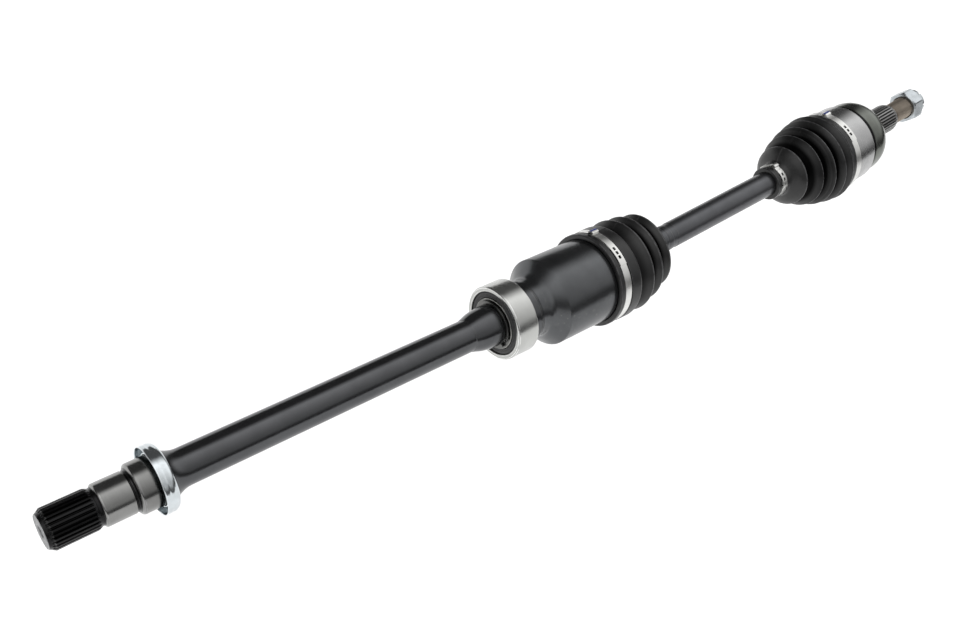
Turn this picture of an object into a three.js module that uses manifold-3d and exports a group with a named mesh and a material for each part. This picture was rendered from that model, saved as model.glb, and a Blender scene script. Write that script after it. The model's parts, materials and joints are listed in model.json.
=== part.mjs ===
// A front drive axle with an intermediate shaft and two constant velocity joints.
// Millimetres. The intermediate shaft lies along X, its differential end at -X, and the
// origin is the centre of the support bearing. Both joints stand slightly bent in the XZ plane.
import * as THREE from "three";
import { mergeVertices } from "three/addons/utils/BufferGeometryUtils.js";
import Module from "manifold-3d";

const wasm = await Module();
wasm.setup();

// ---------------------------------------------------------------- driving dimensions
const GAP = 0.35; // between pieces that touch on the real axle
const ROUND = 24; // facets round a shaft or a housing
const TURN = Math.PI * 2;

const bearing = { width: 21.4, outer: 31, bore: 17.8, pitch: 24.25, ballRadius: 4, balls: 11 };
const shaft = {
  end: -365.5, splineEnd: -333.6, journalStart: -331, journalEnd: -311.4, shoulder: -308,
  flareStart: -287, tubeStart: -277, tubeEnd: -38.2, weld: 20, splineTeeth: 28,
  splineRadius: 13.8, journalRadius: 14.45, shoulderRadius: 17.4, tubeRadius: 13.05, seatRadius: 17.45,
};
const inner = {
  centre: 72.4, bend: 5.8, // joint centre on X, and the bar's rise in degrees
  radius: 37.1, neckRadius: 24.5, faceStart: 32, faceEnd: 41, open: 110, cavity: 42.5,
  trunnionPitch: 22, rollerRadius: 16, rollerWidth: 11, rollerBore: 11, trunnionRadius: 8,
  trackHalf: 16.8, trackReach: 32, needles: 12,
};
const bar = { length: 369.4, radius: 11.75, splineRadius: 10.9, endPast: 13 };
const outer = {
  bend: 3.8, // the stub's rise from the bar in degrees
  ballPitch: 27.5, ballRadius: 8.5, raceSphere: 24, cageInner: 24.5, cageOuter: 31, bellSphere: 32,
  mouth: -16, bandRadius: 39.6, flangeRadius: 37.1, back: 45.2, backRadius: 28.8,
  splineEnd: 91, splineRadius: 14.7, splineTeeth: 30, threadRadius: 11, threadEnd: 141,
};
const nut = { start: 118, hexHeight: 15, height: 20.5, flats: 30, collarRadius: 13.2, notches: 6 };
const band = { thick: 0.8, width: 6.7, smallWidth: 6, earWide: 5, earTall: 3, earLong: 11 };

// ---------------------------------------------------------------- colours
const finish = (color, roughness, metalness) =>
  new THREE.MeshStandardMaterial({ color, roughness, metalness });
const blackPaint = finish(0x1d1e20, 0.42, 0.3);
const groundSteel = finish(0xa9aaa8, 0.3, 1);
const forgedSteel = finish(0x77786f, 0.45, 0.9);
const brightSteel = finish(0xc9cbcc, 0.25, 1);
const zincPlate = finish(0xbfc6c9, 0.3, 1);
const rubber = finish(0x1b1b1c, 0.75, 0);
const sealRubber = finish(0x2a2b2b, 0.7, 0);

// ---------------------------------------------------------------- shapes
// A THREE geometry as a manifold solid, and back.
function toSolid(geometry) {
  const bare = geometry.index ? geometry.toNonIndexed() : geometry.clone();
  bare.deleteAttribute("normal");
  bare.deleteAttribute("uv");
  const merged = mergeVertices(bare, 1e-4);
  const mesh = new wasm.Mesh({
    numProp: 3,
    vertProperties: merged.attributes.position.array,
    triVerts: new Uint32Array(merged.index.array),
  });
  return new wasm.Manifold(mesh);
}

function toGeometry(solid) {
  const mesh = solid.getMesh();
  const geometry = new THREE.BufferGeometry();
  geometry.setAttribute("position", new THREE.BufferAttribute(mesh.vertProperties, 3));
  geometry.setIndex(new THREE.BufferAttribute(mesh.triVerts, 1));
  return geometry;
}

const join = (first, ...others) => toGeometry(others.reduce((a, b) => a.add(toSolid(b)), toSolid(first)));
const cut = (first, ...others) => toGeometry(others.reduce((a, b) => a.subtract(toSolid(b)), toSolid(first)));
const common = (first, second) => toGeometry(toSolid(first).intersect(toSolid(second)));

// A profile of [x, radius] points turned about the X axis. It ends on the axis, or it closes on itself.
function turned(profile, facets = ROUND) {
  const ends = profile[0][1] === 0 && profile.at(-1)[1] === 0;
  const points = ends ? [...profile] : [...profile, profile[0]];
  const area = points.slice(1).reduce((sum, [x, r], i) => sum + (x - points[i][0]) * (r + points[i][1]), 0);
  if (area < 0) points.reverse();
  const lathe = new THREE.LatheGeometry(points.map(([x, r]) => new THREE.Vector2(r, x)), facets);
  return lathe.rotateZ(-Math.PI / 2);
}

// A ring of rectangular section about X.
const ring = (x0, x1, r0, r1, facets = ROUND) =>
  turned([[x0, r0], [x0, r1], [x1, r1], [x1, r0]], facets);

// A shape drawn in (y, z) and extruded along X from x0 to x1.
function extrudedAlongX(shape, x0, x1) {
  const solid = new THREE.ExtrudeGeometry(shape, { depth: x1 - x0, bevelEnabled: false });
  return solid.rotateX(Math.PI / 2).rotateZ(Math.PI / 2).translate(x0, 0, 0);
}

function polarShape(points) {
  const shape = new THREE.Shape();
  points.forEach(([radius, angle], i) => {
    const spot = [radius * Math.cos(angle), radius * Math.sin(angle)];
    if (i === 0) shape.moveTo(...spot);
    else shape.lineTo(...spot);
  });
  shape.closePath();
  return shape;
}

// The outline of a straight-sided spline or of a ring of notches.
function toothedShape(teeth, root, tip, tipShare = 0.3, rootShare = 0.3) {
  const points = [];
  for (let i = 0; i < teeth; i++) {
    const at = (share) => ((i + share) / teeth) * TURN;
    points.push([tip, at(-tipShare / 2)], [tip, at(tipShare / 2)]);
    points.push([root, at(0.5 - rootShare / 2)], [root, at(0.5 + rootShare / 2)]);
  }
  return polarShape(points);
}

// A splined length: flat-topped teeth with sharp roots.
function spline(x0, x1, teeth, root, tip) {
  const points = [];
  for (let i = 0; i < teeth; i++) {
    const at = (share) => ((i + share) / teeth) * TURN;
    points.push([tip, at(-0.2)], [tip, at(0.2)], [root, at(0.5)]);
  }
  return extrudedAlongX(polarShape(points), x0, x1);
}

// An arc about the origin in the plane of X and Y.
class TrackArc extends THREE.Curve {
  constructor(radius, from, to) {
    super();
    Object.assign(this, { radius, from, to });
  }
  getPoint(t, target = new THREE.Vector3()) {
    const angle = this.from + (this.to - this.from) * t;
    return target.set(this.radius * Math.sin(angle), this.radius * Math.cos(angle), 0);
  }
}

// The space a ball sweeps along one track, widened sideways for the swing of a bent joint.
function trackCutter(azimuth, from, to, widen) {
  const reach = outer.ballRadius + 0.85;
  const shape = new THREE.Shape().absellipse(0, 0, reach + widen, reach, 0, TURN);
  const path = new TrackArc(outer.ballPitch, from, to);
  const swept = new THREE.ExtrudeGeometry(shape, {
    extrudePath: path, steps: 6, curveSegments: 6, bevelEnabled: false,
  });
  return swept.rotateX(azimuth);
}

// Bends what lies past the joint centre towards the next shaft's direction, about Y.
function bent(geometry, centre, degrees, from, to) {
  const spots = geometry.getAttribute("position");
  const point = new THREE.Vector3();
  const middle = new THREE.Vector3(centre, 0, 0);
  const up = new THREE.Vector3(0, 1, 0);
  for (let i = 0; i < spots.count; i++) {
    point.fromBufferAttribute(spots, i);
    const angle = -THREE.MathUtils.degToRad(degrees) * THREE.MathUtils.smoothstep(point.x, from, to);
    point.sub(middle).applyAxisAngle(up, angle).add(middle);
    spots.setXYZ(i, point.x, point.y, point.z);
  }
  return geometry;
}

// ---------------------------------------------------------------- the scene graph
const axle = new THREE.Group();
const barFrame = new THREE.Group(); // the inner joint's centre, X along the bar
barFrame.position.x = inner.centre;
barFrame.rotation.y = -THREE.MathUtils.degToRad(inner.bend);
axle.add(barFrame);
const wheelFrame = new THREE.Group(); // the outer joint's centre, X along the stub
wheelFrame.position.x = bar.length;
wheelFrame.rotation.y = -THREE.MathUtils.degToRad(outer.bend);
barFrame.add(wheelFrame);

function piece(name, geometry, material, parent = axle) {
  const mesh = new THREE.Mesh(geometry, material);
  mesh.name = name;
  parent.add(mesh);
  return mesh;
}

// ---------------------------------------------------------------- intermediate shaft
function intermediateShaft() {
  const s = shaft;
  const body = turned([
    [s.end + 11, 0], [s.end, 4], [s.end, 11.7], [s.end + 1.5, 12.7], [s.splineEnd, 12.7],
    [s.splineEnd + 0.6, 12.3], [s.journalStart - 0.8, 12.3], [s.journalStart, s.journalRadius],
    [s.journalEnd, s.journalRadius], [s.journalEnd + 0.8, 14], [s.shoulder, s.shoulderRadius],
    [s.flareStart, s.shoulderRadius], [s.flareStart + 2.4, 15],
    [s.flareStart + 5, 13.8], [s.tubeStart, s.tubeRadius], [s.tubeEnd, s.tubeRadius],
    [s.tubeEnd + 0.3, 13.5], [-33.5, 14.3], [-28, 15.8], [-20, 17.2], [-13.2, 17.4],
    [-13.2, 16.4], [-11, 16.4], [-11, s.seatRadius], [11.1, s.seatRadius],
    [11.1, 21], [14.4, inner.neckRadius], [s.weld, inner.neckRadius],
    [s.weld, 12], [s.weld + 4, 12], [s.weld + 4, 0],
  ]);
  return join(body, spline(s.end + 1.6, s.splineEnd, s.splineTeeth, 12.4, s.splineRadius));
}

function dustShield() {
  const fit = shaft.shoulderRadius + GAP;
  return turned([
    [-300.6, fit], [-300.6, 18.6], [-289.6, 18.6], [-289.6, 20.6], [-290.8, 22], [-294, 22.6],
    [-299.6, 21.3], [-300.2, 21.8], [-297, 23.2], [-294, 23.6], [-290.2, 22.8], [-288.2, 19.8],
    [-288.2, fit],
  ]);
}

piece("intermediate_shaft", intermediateShaft(), blackPaint);
piece("dust_shield", dustShield(), zincPlate);

// ---------------------------------------------------------------- support bearing
const half = bearing.width / 2;
const grooveArc = (sign, from, to, steps) =>
  Array.from({ length: steps + 1 }, (_, i) => {
    const angle = from + ((to - from) * i) / steps;
    const reach = bearing.ballRadius + GAP;
    return [reach * Math.sin(angle), bearing.pitch + sign * reach * Math.cos(angle)];
  });

function bearingOuterRing() {
  const land = 27; // outer ring's inside, where the seals sit
  return turned([
    [-half + 1.1, bearing.outer], [half - 1.1, bearing.outer], [half, bearing.outer - 1.1],
    [half, land], ...grooveArc(1, 0.81, -0.81, 4), [-half, land], [-half, bearing.outer - 1.1],
  ], 32);
}

function bearingInnerRing() {
  const land = 21.6;
  return turned([
    [-half, bearing.bore], [half, bearing.bore], [half, land],
    ...grooveArc(-1, 0.87, -0.87, 4), [-half, land],
  ]);
}

function bearingCage() {
  const body = ring(-5.6, 5.6, 23.2, 25.3, 22);
  const pocket = new THREE.CylinderGeometry(bearing.ballRadius + 0.45, bearing.ballRadius + 0.45, 8, 8);
  pocket.translate(0, bearing.pitch, 0);
  const pockets = Array.from({ length: bearing.balls }, (_, i) =>
    pocket.clone().rotateX((i / bearing.balls) * TURN));
  return cut(body, ...pockets);
}

function snapRing(x0, x1, r0, r1, gapDegrees, earLength) {
  const open = THREE.MathUtils.degToRad(gapDegrees / 2);
  const steps = 15;
  const shape = new THREE.Shape();
  const spot = (radius, angle) => [radius * Math.cos(angle), radius * Math.sin(angle)];
  const sweep = (radius, from, to, first) => {
    for (let i = 0; i <= steps; i++) {
      const at = spot(radius, from + ((to - from) * i) / steps);
      if (first && i === 0) shape.moveTo(...at);
      else shape.lineTo(...at);
    }
  };
  const ear = earLength / r1;
  shape.moveTo(...spot(r1 + 1.6, open));
  shape.lineTo(...spot(r1 + 1.6, open + ear));
  sweep(r1, open + ear, TURN - open - ear, false);
  shape.lineTo(...spot(r1 + 1.6, TURN - open - ear));
  shape.lineTo(...spot(r1 + 1.6, TURN - open));
  sweep(r0, TURN - open, open, false);
  shape.closePath();
  return extrudedAlongX(shape, x0, x1);
}

piece("bearing_outer_ring", bearingOuterRing(), brightSteel);
piece("bearing_inner_ring", bearingInnerRing(), groundSteel);
piece("bearing_seal_inboard", ring(-half + 1.2, -half + 2.6, 22, 26.65), sealRubber);
piece("bearing_seal_outboard", ring(half - 2.6, half - 1.2, 22, 26.65), sealRubber);
piece("bearing_cage", bearingCage(), brightSteel);
for (let i = 0; i < bearing.balls; i++) {
  const ball = piece(`bearing_ball_${i + 1}`, new THREE.SphereGeometry(bearing.ballRadius, 8, 6), brightSteel);
  ball.geometry.translate(0, bearing.pitch, 0);
  ball.rotation.x = (i / bearing.balls) * TURN;
}
piece("bearing_snap_ring", snapRing(-12.8, -11.4, 16.9, 19.4, 24, 3.4), groundSteel);

// ---------------------------------------------------------------- inner joint
// Three straight-sided lobes, one for each roller, at 120 degrees.
function trackShape(side, reach, corner) {
  const shape = [];
  for (let lobe = 0; lobe < 3; lobe++) {
    const toward = Math.PI / 2 + (lobe / 3) * TURN;
    const at = (along, across) => [Math.hypot(along, across), toward + Math.atan2(across, along)];
    for (const way of [-1, 1]) {
      const arc = [0, 0.5, 1].map((t) => (way > 0 ? 1 - t : t) * (Math.PI / 2));
      arc.forEach((angle) => shape.push(at(
        reach - corner + corner * Math.sin(angle),
        way * (side - corner + corner * Math.cos(angle)),
      )));
    }
    const land = side / Math.sin(Math.PI / 3);
    shape.push([land + 1, toward + Math.PI / 3 - 0.06], [land + 1, toward + Math.PI / 3 + 0.06]);
  }
  return polarShape(shape);
}

function innerHousing() {
  const j = inner;
  const x0 = shaft.weld + GAP;
  const body = turned([
    [x0, 0], [x0, j.neckRadius], [j.faceStart - 3, j.neckRadius], [j.faceStart - 0.8, j.neckRadius + 0.3],
    [j.faceStart, j.neckRadius + 1.1], [j.faceEnd - 0.9, j.radius - 0.7], [j.faceEnd, j.radius],
    [97, j.radius], [98, 36.4], [j.open - 0.8, 36.4], [j.open, 35.8], [j.open, 0],
  ], 32);
  const spigot = turned([[x0 - 1, 0], [x0 - 1, 12.4], [shaft.weld + 4.4, 12.4], [shaft.weld + 4.4, 0]]);
  const lobes = extrudedAlongX(trackShape(j.trackHalf, j.trackReach, 5), j.cavity, j.open + 1);
  const mouth = turned([[80, 0], [80, 18], [j.open + 1, 29.8], [j.open + 1, 0]]);
  return cut(body, spigot, lobes, mouth);
}

// The trunnions point at +Z and 120 degrees either side of it.
const trunnionTurns = [0, 1, 2].map((i) => (i / 3) * TURN);

function spider() {
  const hub = turned([
    [-9, 11.25], [-9, 14.4], [-7.6, 15.6], [7.6, 15.6], [9, 14.4], [9, 11.25],
  ]);
  const reach = 28.9;
  const start = 12.2;
  const trunnion = new THREE.CylinderGeometry(inner.trunnionRadius, inner.trunnionRadius, reach - start, 16);
  trunnion.rotateX(Math.PI / 2).translate(0, 0, (reach + start) / 2);
  const slot = new THREE.CylinderGeometry(inner.trunnionRadius + 3, inner.trunnionRadius + 3, 1.7, 12);
  const core = new THREE.CylinderGeometry(7, 7, 3, 16);
  const groove = cut(slot, core).rotateX(Math.PI / 2).translate(0, 0, 28.1 - 0.15);
  const arm = cut(trunnion, groove);
  const bore = turned([[-10, 0], [-10, 11.25], [10, 11.25], [10, 0]]);
  return cut(join(hub, ...trunnionTurns.map((a) => arm.clone().rotateX(a))), bore);
}

// About its own trunnion, which points along Z.
const onTrunnion = (geometry) => geometry.rotateY(-Math.PI / 2).translate(0, 0, inner.trunnionPitch);

function roller() {
  const w = inner.rollerWidth / 2;
  const crown = (x) => Math.sqrt(inner.rollerRadius ** 2 - x * x);
  return onTrunnion(turned([
    [-w, inner.rollerBore], [-w, crown(w) - 0.5], [-w + 0.5, crown(w - 0.5)],
    [0, inner.rollerRadius], [w - 0.5, crown(w - 0.5)], [w, crown(w) - 0.5],
    [w, inner.rollerBore],
  ], 20));
}

function needleSet() {
  const shape = toothedShape(inner.needles, 10.25, 10.65, 0.5, 0.2);
  const inside = toothedShape(inner.needles, 8.75, 8.4, 0.5, 0.2);
  shape.holes.push(inside);
  return onTrunnion(extrudedAlongX(shape, -4.9, 4.9));
}

function rollerClip() {
  const shape = new THREE.Shape();
  const open = 0.4;
  shape.absarc(0, 0, 9.6, open, TURN - open);
  shape.absarc(0, 0, 7.4, TURN - open, open, true);
  shape.closePath();
  const clip = new THREE.ExtrudeGeometry(shape, { depth: 0.9, bevelEnabled: false, curveSegments: 10 });
  return clip.translate(0, 0, 27.75);
}

piece("inner_joint_housing", innerHousing(), blackPaint);
piece("tripod_spider", spider(), forgedSteel, barFrame);
trunnionTurns.forEach((angle, i) => {
  for (const [name, make, material] of [
    ["roller_ring", roller, groundSteel], ["needle_set", needleSet, brightSteel],
    ["roller_clip", rollerClip, forgedSteel],
  ]) piece(`${name}_${i + 1}`, make(), material, barFrame).rotation.x = angle;
});

// ---------------------------------------------------------------- bar shaft
function barShaft() {
  const end = bar.length + bar.endPast;
  const r = bar.radius;
  const s = bar.splineRadius;
  return turned([
    [-bar.endPast, 0], [-bar.endPast, s - 1], [-12.2, s], [-11.6, s], [-11.6, 9.7], [-9.8, 9.7], [-9.8, s],
    [10, s], [16, r], [98, r], [99, r - 0.6], [107, r - 0.6], [108, r], [263, r], [264, r - 0.6],
    [276, r - 0.6], [277, r], [bar.length - 12, r], [bar.length - 11.4, s],
    [end - 1.7, s], [end - 1.7, 9.7], [end, 9.7], [end, s], [end + 1.6, s - 0.6],
    [end + 1.6, 0],
  ]);
}

piece("bar_shaft", barShaft(), blackPaint, barFrame);
piece("spider_circlip", snapRing(-11.3, -10.1, 10.05, 11.7, 20, 0.1), groundSteel, barFrame);
const pastRace = bar.length + bar.endPast - 1.4;
piece("race_circlip", snapRing(pastRace, pastRace + 1.1, 10.05, 11.4, 20, 0.1), groundSteel, barFrame);

// ---------------------------------------------------------------- outer joint
const ballTurns = Array.from({ length: 6 }, (_, i) => ((i + 0.5) / 6) * TURN);
const degrees = THREE.MathUtils.degToRad;

function sphereArc(radius, x0, x1, steps) {
  return Array.from({ length: steps + 1 }, (_, i) => {
    const x = x0 + ((x1 - x0) * i) / steps;
    return [x, Math.sqrt(radius * radius - x * x)];
  });
}

function innerRace() {
  const body = turned([[-11, 11.25], ...sphereArc(outer.raceSphere, -11, 11, 6), [11, 11.25]]);
  return cut(body, ...ballTurns.map((turn) => trackCutter(turn, degrees(-62), degrees(62), 1)));
}

function ballCage() {
  const o = outer;
  const body = turned([
    ...sphereArc(o.cageInner, 14, -14, 4), ...sphereArc(o.cageOuter, -14, 14, 4),
  ], 36);
  const window = new THREE.BoxGeometry(2 * o.ballRadius + 0.7, 19.5, 24);
  window.translate(0, 0, 32);
  return cut(body, ...ballTurns.map((turn) => window.clone().rotateX(turn - Math.PI / 2)));
}

function bell() {
  const o = outer;
  const body = turned([
    [o.mouth, 0], [o.mouth, 38.4], [-9.6, 38.4], [-9.4, o.bandRadius],
    [14.2, o.bandRadius], [15.2, 35.6], [18.2, 35.6], [19.4, o.flangeRadius],
    [o.back - 14, o.flangeRadius], [o.back - 8, 36], [o.back - 3.2, 33], [o.back, o.backRadius],
    [o.back, 16.6], [o.back - 0.8, 16.2], [o.back - 0.8, 14], [o.splineEnd, 14], [o.splineEnd + 2, o.threadRadius],
    [o.threadEnd - 1.4, o.threadRadius], [o.threadEnd, o.threadRadius - 1.4], [o.threadEnd, 0],
  ], 32);
  const sphere = turned([[-27, 0], ...sphereArc(o.bellSphere, -27, 29.5, 8), [29.5, 0]], 24);
  const mouth = turned([[o.mouth - 1, 0], [o.mouth - 1, 35.8], [-11.5, 30.5], [-11.5, 0]], 24);
  const cutters = ballTurns.map((turn) => trackCutter(turn, degrees(-62), degrees(46), 2.2));
  const teeth = spline(o.back + 0.6, o.splineEnd, o.splineTeeth, 13.6, o.splineRadius);
  return cut(join(body, teeth), sphere, mouth, ...cutters);
}

piece("inner_race", innerRace(), groundSteel, barFrame).position.x = bar.length;
piece("ball_cage", ballCage(), groundSteel, barFrame).position.x = bar.length;
ballTurns.forEach((turn, i) => {
  const ball = piece(`drive_ball_${i + 1}`, new THREE.SphereGeometry(outer.ballRadius, 12, 8), brightSteel, barFrame);
  const side = [outer.ballPitch * Math.cos(turn), outer.ballPitch * Math.sin(turn)];
  ball.position.set(bar.length, ...side);
});
piece("outer_joint_bell", bell(), forgedSteel, wheelFrame);

function hubNut() {
  const corner = nut.flats / 2 / Math.cos(Math.PI / 6);
  const hexagon = polarShape(Array.from({ length: 6 }, (_, i) => [corner, (i / 6) * TURN]));
  const end = nut.start + nut.height;
  const top = nut.start + nut.hexHeight;
  const blank = turned([
    [nut.start, 0], [nut.start, 14.6], [nut.start + 1.6, 17.4], [top - 1.6, 17.4], [top, 14.6], [top, 0],
  ]);
  const hex = common(extrudedAlongX(hexagon, nut.start, top), blank);
  const collar = turned([
    [top - 1, 0], [top - 1, nut.collarRadius], [end - 0.6, nut.collarRadius], [end, nut.collarRadius - 0.6],
    [end, 0],
  ]);
  const bore = turned([[nut.start - 1, 0], [nut.start - 1, 11.35], [end + 1, 11.35], [end + 1, 0]]);
  const notch = new THREE.BoxGeometry(4.5, 40, 4.2).translate(end - 2, 0, 0);
  const notches = [0, 1, 2].map((i) => notch.clone().rotateX(((i + 0.5) / nut.notches) * TURN));
  return cut(join(hex, collar), bore, ...notches);
}

piece("hub_nut", hubNut(), zincPlate, wheelFrame);

// ---------------------------------------------------------------- boots and clamps
// A boot's outside profile, and inside it the bores of its two collars and a wall's thickness between.
function boot(outside, wall, startBore, startTo, endFrom, endBore) {
  const between = outside.filter(([x]) => x > startTo && x < endFrom).map(([x, r]) => [x, r - wall]);
  const inside = [
    [outside[0][0], startBore], [startTo, startBore], ...between,
    [endFrom, endBore], [outside.at(-1)[0], endBore],
  ];
  return turned([...outside, ...inside.reverse()]);
}

function innerBoot() {
  const outside = [
    [94.6, 41.2], [99.6, 41.2], [100, 39.9], [108, 39.9], [108.4, 41.4], [119.2, 41.5],
    [124.8, 34.6], [135, 41.4], [139.6, 32.8], [148.4, 38.6], [153, 29], [162.4, 34.1],
    [167.6, 15.6], [169.4, 14], [176.2, 14], [176.6, 15], [179, 15],
  ];
  return bent(boot(outside, 2.6, 37.8, 119, 168, 12.15), inner.centre, inner.bend, 121, 170);
}

function outerBoot() {
  const outside = [
    [-107.2, 16], [-102.6, 16.2], [-102.4, 15], [-95.4, 15], [-95.2, 16.4], [-91, 17.8],
    [-81.2, 29.9], [-76.6, 22.8], [-64.6, 36.5], [-60, 27.8], [-50, 41], [-45.6, 33],
    [-37, 43.7], [-33.6, 37.8], [-27.6, 44.6], [-25, 41.6], [-19, 42.3], [-18.6, 40.9], [-10.2, 40.9],
  ];
  const bellows = boot(outside, 2.6, 12.15, -91, -23, 39.1);
  return bent(bellows, 0, outer.bend, -91, -22).translate(bar.length, 0, 0);
}

// A steel band with its crimped ear at `turn` round X.
function clamp(x, width, radius, turn) {
  const body = ring(x, x + width, radius, radius + band.thick);
  const ear = new THREE.BoxGeometry(width - 1, band.earWide, band.earTall);
  ear.translate(x + width / 2, 0, radius + band.thick + band.earTall / 2 - 0.5);
  return join(body, ear.rotateX(turn));
}

piece("inner_boot", innerBoot(), rubber);
piece("outer_boot", outerBoot(), rubber, barFrame);
piece("inner_boot_large_clamp", clamp(100.7, band.width, 40.25, degrees(-8)), brightSteel);
const smallInner = clamp(169.8 - inner.centre, band.smallWidth, 14.35, degrees(-8));
piece("inner_boot_small_clamp", smallInner, brightSteel, barFrame);
const smallOuter = clamp(bar.length - 102, band.smallWidth, 15.35, degrees(-8));
piece("outer_boot_small_clamp", smallOuter, brightSteel, barFrame);
piece("outer_boot_large_clamp", clamp(-18.2, band.width, 41.25, degrees(-8)), brightSteel, wheelFrame);

export default axle;
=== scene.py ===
"""The axle's looks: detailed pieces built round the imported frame, with procedural materials."""
import json
import math

import bpy
from mathutils import Matrix, Vector
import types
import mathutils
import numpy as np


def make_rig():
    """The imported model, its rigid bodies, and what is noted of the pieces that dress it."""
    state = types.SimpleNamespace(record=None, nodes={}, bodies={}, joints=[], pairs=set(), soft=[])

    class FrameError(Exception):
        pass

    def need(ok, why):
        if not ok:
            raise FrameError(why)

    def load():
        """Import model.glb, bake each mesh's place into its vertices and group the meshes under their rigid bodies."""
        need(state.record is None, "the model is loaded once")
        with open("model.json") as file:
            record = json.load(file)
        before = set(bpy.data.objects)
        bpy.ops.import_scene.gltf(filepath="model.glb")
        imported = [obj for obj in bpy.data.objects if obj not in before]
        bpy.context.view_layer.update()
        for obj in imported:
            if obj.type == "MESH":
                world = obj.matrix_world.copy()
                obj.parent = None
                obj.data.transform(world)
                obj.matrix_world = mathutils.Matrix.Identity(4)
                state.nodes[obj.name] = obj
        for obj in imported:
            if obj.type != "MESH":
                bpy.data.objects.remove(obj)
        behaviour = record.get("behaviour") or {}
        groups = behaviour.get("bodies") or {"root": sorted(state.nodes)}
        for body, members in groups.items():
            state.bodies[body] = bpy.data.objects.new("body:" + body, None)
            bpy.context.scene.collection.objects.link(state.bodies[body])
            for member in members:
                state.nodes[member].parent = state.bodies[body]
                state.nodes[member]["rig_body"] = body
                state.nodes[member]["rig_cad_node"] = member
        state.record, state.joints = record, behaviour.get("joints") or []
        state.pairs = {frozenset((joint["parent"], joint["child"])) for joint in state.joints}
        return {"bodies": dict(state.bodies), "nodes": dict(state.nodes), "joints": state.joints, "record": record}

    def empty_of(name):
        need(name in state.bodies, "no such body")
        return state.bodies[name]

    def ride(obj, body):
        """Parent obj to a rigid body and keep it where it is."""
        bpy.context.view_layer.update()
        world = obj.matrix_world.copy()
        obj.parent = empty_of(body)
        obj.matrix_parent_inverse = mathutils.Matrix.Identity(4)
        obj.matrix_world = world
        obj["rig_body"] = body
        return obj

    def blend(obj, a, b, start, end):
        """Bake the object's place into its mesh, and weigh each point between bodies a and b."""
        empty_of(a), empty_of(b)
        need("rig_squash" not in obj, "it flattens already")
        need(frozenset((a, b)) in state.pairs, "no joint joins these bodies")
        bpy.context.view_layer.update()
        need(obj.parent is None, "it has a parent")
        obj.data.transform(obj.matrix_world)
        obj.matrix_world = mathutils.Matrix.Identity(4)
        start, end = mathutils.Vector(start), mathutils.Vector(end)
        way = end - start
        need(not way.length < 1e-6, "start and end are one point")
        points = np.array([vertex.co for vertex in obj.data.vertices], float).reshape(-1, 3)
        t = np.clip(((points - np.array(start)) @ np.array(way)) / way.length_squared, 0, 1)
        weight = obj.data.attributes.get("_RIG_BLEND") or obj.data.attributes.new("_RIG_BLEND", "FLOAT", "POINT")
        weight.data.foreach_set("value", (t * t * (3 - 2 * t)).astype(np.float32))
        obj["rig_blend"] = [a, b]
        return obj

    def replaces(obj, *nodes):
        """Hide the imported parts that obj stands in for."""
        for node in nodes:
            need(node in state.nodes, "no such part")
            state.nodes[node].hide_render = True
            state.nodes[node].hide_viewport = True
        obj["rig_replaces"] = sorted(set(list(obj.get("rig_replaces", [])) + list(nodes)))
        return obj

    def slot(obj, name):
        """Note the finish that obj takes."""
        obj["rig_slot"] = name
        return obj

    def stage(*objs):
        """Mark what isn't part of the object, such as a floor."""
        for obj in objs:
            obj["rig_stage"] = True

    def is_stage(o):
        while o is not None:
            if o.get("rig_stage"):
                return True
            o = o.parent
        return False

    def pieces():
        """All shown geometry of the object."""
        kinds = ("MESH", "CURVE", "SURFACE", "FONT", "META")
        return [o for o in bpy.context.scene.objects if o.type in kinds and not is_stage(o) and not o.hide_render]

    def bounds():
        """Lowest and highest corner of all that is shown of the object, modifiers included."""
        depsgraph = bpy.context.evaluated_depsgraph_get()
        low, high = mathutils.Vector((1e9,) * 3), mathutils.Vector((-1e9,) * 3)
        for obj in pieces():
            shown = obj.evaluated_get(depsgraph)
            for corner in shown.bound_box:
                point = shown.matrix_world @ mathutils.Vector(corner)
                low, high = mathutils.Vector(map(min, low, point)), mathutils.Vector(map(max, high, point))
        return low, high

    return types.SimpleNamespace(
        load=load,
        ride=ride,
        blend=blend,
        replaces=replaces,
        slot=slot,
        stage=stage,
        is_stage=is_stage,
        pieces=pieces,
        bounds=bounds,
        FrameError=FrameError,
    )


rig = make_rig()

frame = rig.load()
cad_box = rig.bounds()
scene = bpy.context.scene
scene.view_settings.view_transform = "Standard"
MM = 0.001
TURN = 2 * math.pi

# ---------------------------------------------------------------- driving sizes, in millimetres and degrees
INNER_CENTRE, INNER_BEND = 72.4, 5.8  # the inner joint's place on the shaft, and its bend at rest
BAR_LENGTH, OUTER_BEND = 369.4, 3.8  # from joint to joint, and the outer joint's bend at rest
SHAFT_START = -365.5
TUBE_RADIUS = 13.05
JOURNAL_RADIUS, SHOULDER_RADIUS = 14.45, 17.4
SHAFT_SPLINE = {"count": 28, "root": 12.45, "tip": 13.8}
STUB_SPLINE = {"count": 30, "root": 13.35, "tip": 14.75}
BEARING_RADIUS, BEARING_HALF_WIDTH = 31.0, 10.7
HOUSING_RADIUS, NECK_RADIUS = 37.1, 24.5
BAR_RADIUS = 11.75
BELL_RADIUS, FLANGE_RADIUS = 39.6, 37.1
THREAD_START, THREAD_END, THREAD_PITCH = 95.5, 139.4, 1.5
NUT_START, NUT_FLAT_END, NUT_END = 118.0, 133.0, 138.6
NUT_FLATS, NUT_CORNER, COLLAR_RADIUS = 30.0, 17.33, 13.4
BOOT_WALL = 1.8
MOULD_LINE = (63.0, 0.3, 0.16)  # a boot's raised seam: degrees round, half width in degrees, height
BAND = 0.75  # a clamp's strip thickness


def bent_frame(parent, x, degrees):
    """A frame further along its parent's X, and turned up in the XZ plane."""
    turn = Matrix.Rotation(-math.radians(degrees), 4, "Y")
    return parent @ Matrix.Translation((x * MM, 0, 0)) @ turn


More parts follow.
